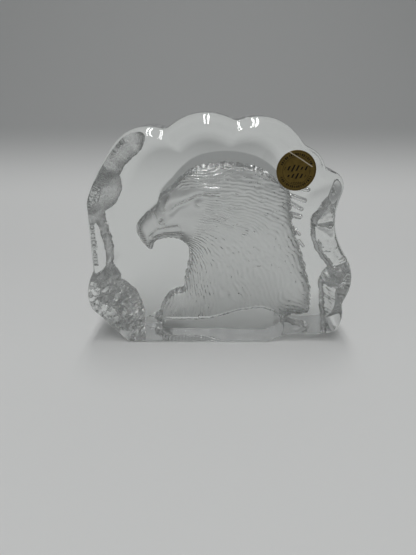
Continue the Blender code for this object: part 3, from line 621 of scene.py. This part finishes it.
def front_face(last_ring, edge_place, last_numbers, base):
    """The flat front inside the last ring: a coarser square grid, and triangles that join it to the ring."""
    out, place = square_rings(FRONT_HALF)
    order = np.argsort(edge_place)
    ring = last_ring[order][:, [0, 2]]
    rim = np.stack([np.interp(place, edge_place[order], ring[:, axis], period=1) for axis in (0, 1)], -1)
    flat = HEART + out[..., None] * (rim - HEART) * FRONT_SHARE
    points = np.stack([flat[..., 0], np.full(out.shape, FRONT_Y), flat[..., 1]], -1).reshape(-1, 3)
    side = 2 * FRONT_HALF + 1
    number = base + np.arange(side**2).reshape(side, side)
    quads = np.stack([number[:-1, :-1], number[1:, :-1], number[1:, 1:], number[:-1, 1:]], -1).reshape(-1, 4)
    inner = grid_rim(FRONT_HALF) + base
    after = np.roll(inner, -1)
    count = len(last_numbers)
    ratio = count // len(inner)
    first = np.arange(len(inner)) * ratio
    fans = []
    for step in range(ratio):
        near = inner if step < ratio // 2 else after
        outer, following = last_numbers[first + step], last_numbers[(first + step + 1) % count]
        fans.append(np.column_stack([following, outer, near]))
    fans.append(np.column_stack([last_numbers[first + ratio // 2], inner, after]))
    return points, quads, np.concatenate(fans)


def crystal_mesh():
    """The whole block as one closed mesh: the pushed-in back grid, the rings of the side and the flat front.

    The rings of the square grid follow the outline inwards to the middle. The last result lists the points
    along the back's edge where it is broken.
    """
    outline, rounding = np.split(block_outline(), [2], axis=1)
    out, place = square_rings(GRID_HALF)
    rim = on_ring(outline, place)
    x, z = np.moveaxis(HEART + out[..., None] * (rim - HEART), -1, 0)
    from_rim = (1 - out) * np.hypot(*np.moveaxis(rim - HEART, -1, 0))
    depth, broken_off, finishes = back_relief(x, z, from_rim)
    points = [np.stack([x, BACK_Y - depth, z], -1).reshape(-1, 3)]

    side = 2 * GRID_HALF + 1
    number = np.arange(side * side).reshape(side, side)
    corners = number[:-1, :-1], number[:-1, 1:], number[1:, 1:], number[1:, :-1]
    quads = [np.stack(corners, -1).reshape(-1, 4)]
    back_finish = np.zeros((side - 1, side - 1), int)
    for index, (finish, least) in enumerate(zip(finishes, FINISH_CORNERS), 1):
        cells = sum(finish.reshape(-1)[corner].astype(int) for corner in corners)
        back_finish = np.where(cells >= least, index, back_finish)

    edge = grid_rim(GRID_HALF)
    edge_place = place.reshape(-1)[edge]
    previous, base = edge, side * side
    for ring in side_rings(outline, rounding, edge_place, points[0][edge, 1]):
        current = base + np.arange(len(edge))
        quads.append(np.column_stack([previous, current, np.roll(current, -1), np.roll(previous, -1)]))
        points.append(ring)
        previous, base = current, base + len(edge)
    front_points, front_quads, fans = front_face(points[-1], edge_place, previous, base)
    points = np.concatenate([*points, front_points])
    quads = np.concatenate([*quads, front_quads])
    polished = np.zeros(len(quads) - back_finish.size, int)
    finish = np.concatenate([back_finish.ravel(), polished])
    return points, quads, fans, finish, edge[broken_off.reshape(-1)[edge]]


def sharpen_edges(mesh, sharp_points):
    """Marks the edges between two of these points as sharp, so that the shading breaks there."""
    ends = np.empty(2 * len(mesh.edges), np.int32)
    mesh.edges.foreach_get("vertices", ends)
    broken = np.isin(ends.reshape(-1, 2), sharp_points).all(1)
    mesh.attributes.new("sharp_edge", "BOOLEAN", "EDGE").data.foreach_set("value", broken)


def add_feather_counts(mesh):
    """Keeps both feather counts and the feathered share on the mesh's points, for the frosting's strokes."""
    places = np.empty(3 * len(mesh.vertices), np.float32)
    mesh.vertices.foreach_get("co", places)
    x, _, z = places.reshape(-1, 3).T / MILLIMETRE
    rows = [feather_count(x, z, False), feather_count(x, z, True), feathered_share(x, z)]
    counts = mesh.attributes.new("feather_counts", "FLOAT_VECTOR", "POINT")
    counts.data.foreach_set("vector", np.column_stack(rows).astype(np.float32).ravel())


def mesh_from(name, points, quads, triangles, finish):
    """A smooth-shaded mesh from points, four-sided faces with their materials, and triangles."""
    mesh = bpy.data.meshes.new(name)
    mesh.vertices.add(len(points))
    mesh.vertices.foreach_set("co", points.astype(np.float32).ravel())
    corners = np.concatenate([quads.ravel(), triangles.ravel()]).astype(np.int32)
    mesh.loops.add(len(corners))
    mesh.loops.foreach_set("vertex_index", corners)
    starts = np.concatenate([4 * np.arange(len(quads)), quads.size + 3 * np.arange(len(triangles))])
    mesh.polygons.add(len(starts))
    mesh.polygons.foreach_set("loop_start", starts.astype(np.int32))
    mesh.polygons.foreach_set("material_index", np.pad(finish, (0, len(triangles))).astype(np.int32))
    mesh.update(calc_edges=True)
    mesh.validate()
    mesh.shade_smooth()
    return mesh


LEAD_GLASS_IOR = 1.545
# The speckled tints, painted shade, are dark where noise is under the first level and light over the second
SPECK_LOW = 0.46
SPECK_HIGH = 0.52
# The feather strokes' noise, and how many strokes aside it bends them
STROKE_NOISE_SCALE = 150
STROKE_BEND = 1.8


def connect(material, node, inputs):
    """Sets each named input of the node to its value, or links it where that is another node's output."""
    for name, value in inputs.items():
        if isinstance(value, bpy.types.NodeSocket):
            material.node_tree.links.new(value, node.inputs[name])
        else:
            node.inputs[name].default_value = value


def add_node(material, kind, settings, inputs):
    """A new node of the material with its own settings, and with its inputs set or linked."""
    node = material.node_tree.nodes.new(kind)
    for name, value in settings.items():
        setattr(node, name, value)
    connect(material, node, inputs)
    return node


def add_noise(material, scale, detail):
    """Noise in Object coordinates, as an output."""
    place = add_node(material, "ShaderNodeTexCoord", {}, {}).outputs["Object"]
    inputs = {"Vector": place, "Scale": scale, "Detail": detail}
    return add_node(material, "ShaderNodeTexNoise", {}, inputs).outputs["Fac"]


def blended(material, share, first, second):
    """A colour that goes from the first to the second as the share goes from 0 to 1, as an output."""
    inputs = {"Factor": share, "A": first, "B": second}
    return add_node(material, "ShaderNodeMix", {"data_type": "RGBA"}, inputs).outputs["Result"]


def calculated(material, operation, *values):
    """The result of an operation on up to three numbers or outputs, as an output."""
    inputs = dict(enumerate(values))
    return add_node(material, "ShaderNodeMath", {"operation": operation}, inputs).outputs[0]


def crystal_glass(name, colour, roughness, bump_scale, bump_distance):
    """Clear lead glass, see-through by plain values, with a slight unevenness of its surface."""
    material = bpy.data.materials.new(name)
    material.use_nodes = True
    grain = add_noise(material, bump_scale, detail=3)
    bump = add_node(material, "ShaderNodeBump", {}, {"Distance": bump_distance, "Height": grain})
    connect(material, material.node_tree.nodes["Principled BSDF"], {
        "Base Color": colour, "Roughness": roughness, "IOR": LEAD_GLASS_IOR, "Transmission Weight": 1,
        "Normal": bump.outputs["Normal"]})
    return material


def grey(value):
    """A faintly green grey."""
    return value, value * 1.03, value * 1.02, 1


def add_speckle(material, scale, transmission, dark, light):
    """Painted shade on broken glass: a plain share of light goes through, and noise mottles it from dark to
    light grey.
    """
    inputs = {"From Min": SPECK_LOW, "From Max": SPECK_HIGH, "Value": add_noise(material, scale, detail=2)}
    share = add_node(material, "ShaderNodeMapRange", {}, inputs).outputs[0]
    tint = blended(material, share, grey(dark), grey(light))
    shader = material.node_tree.nodes["Principled BSDF"]
    connect(material, shader, {"Transmission Weight": transmission, "Base Color": tint})


def add_feather_strokes(material, groove):
    """Fine grooves under the frosting's grain: sine waves of the count across feathers, bent by noise."""
    counts = add_node(material, "ShaderNodeAttribute", {"attribute_name": "feather_counts"}, {})
    split = add_node(material, "ShaderNodeSeparateXYZ", {}, {0: counts.outputs["Vector"]})
    across, feathered = split.outputs["Y"], split.outputs["Z"]
    bend = add_noise(material, STROKE_NOISE_SCALE, detail=2)
    bent = calculated(material, "MULTIPLY_ADD", bend, STROKE_BEND, across)
    wave = calculated(material, "SINE", calculated(material, "MULTIPLY", bent, math.tau))
    grown = calculated(material, "MULTIPLY", wave, feathered)
    strokes = add_node(material, "ShaderNodeBump", {}, {"Distance": groove, "Height": grown})
    connect(material, material.node_tree.nodes["Bump"], {"Normal": strokes.outputs["Normal"]})


polished = crystal_glass(
    "polished_crystal", (0.92, 0.935, 0.925, 1), roughness=0.0, bump_scale=90, bump_distance=0.00003)
frosting = crystal_glass(
    "frosted_crystal", (0.70, 0.715, 0.705, 1), roughness=0.42, bump_scale=2500, bump_distance=0.00004)
add_feather_strokes(frosting, groove=0.0001)
# Painted shade: the chipped skin's dark grey tint and dark flecks, with its light flecks as painted glints
chipped_shade_skin = crystal_glass(
    "chipped_crystal_painted_shade", (0.52, 0.535, 0.53, 1), roughness=0.05, bump_scale=700, bump_distance=0.0006)
add_speckle(chipped_shade_skin, scale=1300, transmission=0.75, dark=0.14, light=0.86)
# The ground bevel is truly rough; its tint, darker than the polished glass's, is painted shade
ground_foot_shaded = crystal_glass(
    "ground_crystal_painted_shade", (0.76, 0.775, 0.77, 1), roughness=0.25, bump_scale=300, bump_distance=0.0001)
# Painted shade: the head's walls are tinted nearly black, so that they show as dark lines round the head
shaded_head_walls = crystal_glass(
    "head_wall_painted_shade", (0.24, 0.255, 0.25, 1), roughness=0.05, bump_scale=900, bump_distance=0.0006)
add_speckle(shaded_head_walls, scale=1500, transmission=0.6, dark=0.01, light=0.24)

*crystal_arrays, sharp_points = crystal_mesh()
crystal = bpy.data.objects.new("carved_crystal", mesh_from("carved_crystal", *crystal_arrays))
bpy.context.scene.collection.objects.link(crystal)
sharpen_edges(crystal.data, sharp_points)
add_feather_counts(crystal.data)
for skin in (polished, frosting, chipped_shade_skin, ground_foot_shaded, shaded_head_walls):
    crystal.data.materials.append(skin)
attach(crystal, "root")
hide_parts("crystal_block")

# The foil seal: a thin round sticker of dark gold foil, printed in black and pressed on the polished front.
# Its edge is embossed, it is a little tarnished, and a crease runs across its top right, tinted pale as a
# painted highlight along the fold.
seal_low, seal_high = (Vector(corner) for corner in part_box("foil_seal"))
SEAL_MIDDLE_X = (seal_low.x + seal_high.x) / 2
SEAL_MIDDLE_Z = (seal_low.z + seal_high.z) / 2
SEAL_RADIUS = (seal_high.x - seal_low.x) / 2
SEAL_RINGS = 60
SEAL_POINTS = 400
# Relief as shares of the thickness: the face, the embossed edge, the outermost rim, the crease and the print
SEAL_FACE = 0.5
SEAL_EMBOSSING = 0.35
SEAL_RIM = 0.4
CREASE_RISE = 0.1
PRINT_SINK = 0.06
# In seal radii: the middle and half width of the embossing, the printed lines, and the marks between them.
# The marks come in groups, and there are none where the edge is within the gap of the middle's height.
EMBOSSING_RADIUS = 0.95
EMBOSSING_WIDTH = 0.02
PRINTED_LINES = [(0.93, 0.012), (0.68, 0.008)]
MARKS_RADIUS = 0.80
MARKS_HALF_HEIGHT = 0.055
MARK_COUNT = 46
MARK_GROUPS = 17
GROUP_WEIGHT = 0.6
MARKS_GAP = 0.35
STROKE_LEVEL = 0.3
ROW_SWELL = 0.3
ROW_WAVES = 7
ROW_SHIFT = 20
# Rows of printed strokes, in seal radii: height, half length, half height and strokes per radius
SEAL_ROWS = [(0.12, 0.58, 0.17, 4.6), (-0.26, 0.48, 0.14, 4.6), (-0.60, 0.26, 0.05, 9)]
SEAL_LEAN = 0.45
SEAL_CREASE = [(-0.40, 0.90), (0.10, 0.62), (0.78, 0.20)]
CREASE_HALF_WIDTH = 0.022
TARNISHED_GOLD = (0.075, 0.049, 0.011, 1)
CLEAN_GOLD = (0.18, 0.123, 0.030, 1)
# Pale gold along the crease: a painted highlight where the fold catches light
CREASE_HIGHLIGHT_GOLD = (0.55, 0.50, 0.40, 1)
PRINTING_INK = (0.008, 0.006, 0.004, 1)


def seal_print(across, up):
    """Where the seal is printed black, from places in seal radii.

    Round the edge are two lines and a broken ring of marks, where two sine waves round the seal add up to
    more than nothing. In the middle are rows of short leaning strokes: a place is on one where a sine wave
    along the row is high and the row's height, which swells and shrinks by a sine wave, isn't passed.
    """
    reach, turn = np.hypot(across, up), np.arctan2(up, across)
    mark_waves = np.sin(MARK_COUNT * turn) + GROUP_WEIGHT * np.sin(MARK_GROUPS * turn)
    on_marks = (mark_waves > 0) & (abs(np.sin(turn)) > MARKS_GAP)
    printed = on_marks & (abs(reach - MARKS_RADIUS) < MARKS_HALF_HEIGHT)
    for radius, half_width in PRINTED_LINES:
        printed |= abs(reach - radius) < half_width
    for height, half_length, half_height, count in SEAL_ROWS:
        along = across - SEAL_LEAN * (up - height)
        swell = np.sin(ROW_WAVES * along + ROW_SHIFT * height)
        swollen = half_height * (1 - ROW_SWELL + ROW_SWELL * swell)
        on_row = (abs(up - height) < swollen) & (abs(along) < half_length)
        printed |= on_row & (np.sin(math.tau * count * along) > STROKE_LEVEL)
    return printed


def seal_mesh():
    """A closed disc: rings and spokes on the front with the embossed edge, then its thin side and flat back.

    Its last result is the tint of each point: 1 on the print, -1 on the crease, which takes a painted
    highlight, else 0.
    """
    share = np.linspace(0, 1, SEAL_RINGS + 1)[1:, None]
    turn = np.arange(SEAL_POINTS) / SEAL_POINTS * math.tau
    across, up = share * np.cos(turn), share * np.sin(turn)
    embossed = SEAL_EMBOSSING * np.exp(-(((share - EMBOSSING_RADIUS) / EMBOSSING_WIDTH) ** 2))
    lift = SEAL_FACE + embossed + 0 * across
    lift[-1] = SEAL_RIM
    printed = seal_print(across, up).astype(float)
    crease = line_distance(across, up, SEAL_CREASE)[0] < CREASE_HALF_WIDTH
    lift += CREASE_RISE * crease - PRINT_SINK * printed
    thickness = seal_high.y - seal_low.y
    ring_x, ring_z = SEAL_MIDDLE_X + SEAL_RADIUS * across, SEAL_MIDDLE_Z + SEAL_RADIUS * up
    ring = np.stack([ring_x, seal_high.y - thickness * lift, ring_z], -1)
    back = ring[-1] * [1, 0, 1] + [0, seal_high.y, 0]
    middle_y = seal_high.y - thickness / 2, seal_high.y
    middle = np.array([[SEAL_MIDDLE_X, y, SEAL_MIDDLE_Z] for y in middle_y])
    points = np.concatenate([ring.reshape(-1, 3), back, middle])
    tint = np.concatenate([np.where(crease, -1, printed).ravel(), np.zeros(SEAL_POINTS + 2)])
    spoke = np.arange(SEAL_POINTS)
    after = np.roll(spoke, -1)
    row = np.arange(SEAL_RINGS)[:, None] * SEAL_POINTS
    next_row = row + SEAL_POINTS
    quads = np.stack([row + spoke, next_row + spoke, next_row + after, row + after], -1).reshape(-1, 4)
    front_middle = np.full(SEAL_POINTS, len(points) - 2)
    hub = np.column_stack([spoke, after, front_middle])
    cap = np.column_stack([row[-1] + SEAL_POINTS + after, row[-1] + SEAL_POINTS + spoke, front_middle + 1])
    return points, quads, np.concatenate([hub, cap]), np.zeros(len(quads), int), tint


def foil_material():
    """Tarnished dark gold foil, black where the print attribute is 1, and pale where it is -1, a painted
    highlight along the crease.
    """
    foil = bpy.data.materials.new("dark_gold_foil")
    foil.use_nodes = True
    tint = add_node(foil, "ShaderNodeAttribute", {"attribute_name": "print"}, {}).outputs["Fac"]
    crease_highlight_share = add_node(foil, "ShaderNodeMapRange", {}, {"From Max": -1, "Value": tint})
    tarnish = add_noise(foil, scale=700, detail=4)
    tarnished = blended(foil, tarnish, TARNISHED_GOLD, CLEAN_GOLD)
    inked = blended(foil, tint, tarnished, PRINTING_INK)
    with_crease_highlight = blended(foil, crease_highlight_share.outputs[0], inked, CREASE_HIGHLIGHT_GOLD)
    shader = foil.node_tree.nodes["Principled BSDF"]
    connect(foil, shader, {"Roughness": 0.42, "Metallic": 0.85, "Base Color": with_crease_highlight})
    return foil


*seal_arrays, seal_tint = seal_mesh()
seal = bpy.data.objects.new("printed_seal", mesh_from("printed_seal", *seal_arrays))
bpy.context.scene.collection.objects.link(seal)
seal_attribute = seal.data.attributes.new("print", "FLOAT", "POINT")
seal_attribute.data.foreach_set("value", seal_tint.astype(np.float32))
seal.data.materials.append(foil_material())
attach(seal, "root")
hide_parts("foil_seal")

# The stage: a pale paper floor that sweeps up into a backdrop tinted greyer as painted shade, under the two
# tubes of one ceiling lamp, which run from front to back, in a dim room.
PAPER_HALF_WIDTH = 4.0
PAPER_FRONT_Y = -3.0
PAPER_TOP = 3.0
FLOOR_Z = -0.0002
BACKDROP_Y = 0.62
SWEEP_RADIUS = 0.5
SWEEP_STEPS = 24
# The paper's colour changes over these heights: from the floor's to the backdrop's, and to that higher up
BACKDROP_RISE = (0.02, 0.10)
HIGH_RISE = (0.295, 0.325)
FLOOR_GREY = (0.72, 0.725, 0.72, 1)
# The backdrop's greys are painted shade on the paper, a little less of it higher up
BACKDROP_SHADE_GREY = (0.36, 0.365, 0.365, 1)
HIGH_SHADE_GREY = (0.45, 0.455, 0.455, 1)
ROOM_GREY = (0.2, 0.205, 0.205, 1)
TUBE_SIZE = (0.05, 2.4)
TUBE_PLACES = {"left_tube": (-0.05, -0.7, 1.25), "right_tube": (0.05, -0.7, 1.25)}
TUBE_POWER = 6.55


def paper_mesh():
    """A sheet swept across along its profile: flat, then a quarter circle up, then upright."""
    turn = np.linspace(0, math.pi / 2, SWEEP_STEPS + 1)
    bend_y, bend_z = BACKDROP_Y - SWEEP_RADIUS * (1 - np.sin(turn)), SWEEP_RADIUS * (1 - np.cos(turn))
    y = np.concatenate([[PAPER_FRONT_Y], bend_y, [BACKDROP_Y]])
    z = np.concatenate([[0], bend_z, [PAPER_TOP]]) + FLOOR_Z
    count = len(y)
    sides = [np.column_stack([np.full(count, x), y, z]) for x in (-PAPER_HALF_WIDTH, PAPER_HALF_WIDTH)]
    near = np.arange(count - 1)
    faces = np.column_stack([near, near + count, near + count + 1, near + 1])
    sheet = bpy.data.meshes.new("paper_sweep")
    sheet.from_pydata(np.concatenate(sides).tolist(), [], faces.tolist())
    sheet.shade_smooth()
    return sheet


def paper_material():
    """Matt paper, pale on the floor, with painted shade that makes it greyer up the sweep and a little
    lighter again higher up.
    """
    paper = bpy.data.materials.new("pale_paper")
    paper.use_nodes = True
    place = add_node(paper, "ShaderNodeTexCoord", {}, {})
    height = add_node(paper, "ShaderNodeSeparateXYZ", {}, {0: place.outputs["Object"]}).outputs["Z"]
    colour = FLOOR_GREY
    for (low, high), above in ((BACKDROP_RISE, BACKDROP_SHADE_GREY), (HIGH_RISE, HIGH_SHADE_GREY)):
        inputs = {"From Min": low, "From Max": high, "Value": height}
        rise = add_node(paper, "ShaderNodeMapRange", {"interpolation_type": "SMOOTHSTEP"}, inputs)
        colour = blended(paper, rise.outputs[0], colour, above)
    connect(paper, paper.node_tree.nodes["Principled BSDF"], {"Roughness": 0.9, "Base Color": colour})
    return paper


sweep = bpy.data.objects.new("paper_sweep", paper_mesh())
bpy.context.scene.collection.objects.link(sweep)
sweep.data.materials.append(paper_material())
for name, place in TUBE_PLACES.items():
    lamp = bpy.data.lights.new(name, "AREA")
    lamp.shape = "RECTANGLE"
    lamp.size, lamp.size_y = TUBE_SIZE
    lamp.energy = TUBE_POWER
    light = bpy.data.objects.new(name, lamp)
    light.location = place
    bpy.context.scene.collection.objects.link(light)
world = bpy.data.worlds.new("dim_room")
bpy.context.scene.world = world
world.use_nodes = True
world.node_tree.nodes["Background"].inputs["Color"].default_value = ROOM_GREY

# The camera stands in front, a little left of the middle and about level with the block's top, and looks
# down. Its lens and frame are in millimetres.
CAMERA_GAP = 0.188
CAMERA_X = -0.0054
CAMERA_Z = 0.1077
CAMERA_TILT = 21
CAMERA_FRAME = 36
PICTURE_WIDTH = 416
PICTURE_HEIGHT = 555
LIGHT_BOUNCES = 24
camera_data = bpy.data.cameras.new("camera")
camera_data.sensor_width = CAMERA_FRAME
camera_data.lens = CAMERA_FRAME * PICTURE_WIDTH / PICTURE_HEIGHT
camera_data.clip_start = 0.01
camera = bpy.data.objects.new("camera", camera_data)
camera.location = (CAMERA_X, FRONT_Y - CAMERA_GAP, CAMERA_Z)
camera.rotation_euler = (math.radians(90 - CAMERA_TILT), 0, 0)
bpy.context.scene.collection.objects.link(camera)
bpy.context.scene.camera = camera
bpy.context.scene.view_settings.view_transform = "Standard"
bpy.context.scene.cycles.max_bounces = LIGHT_BOUNCES
bpy.context.scene.cycles.transmission_bounces = LIGHT_BOUNCES
bpy.context.scene.cycles.glossy_bounces = LIGHT_BOUNCES // 2
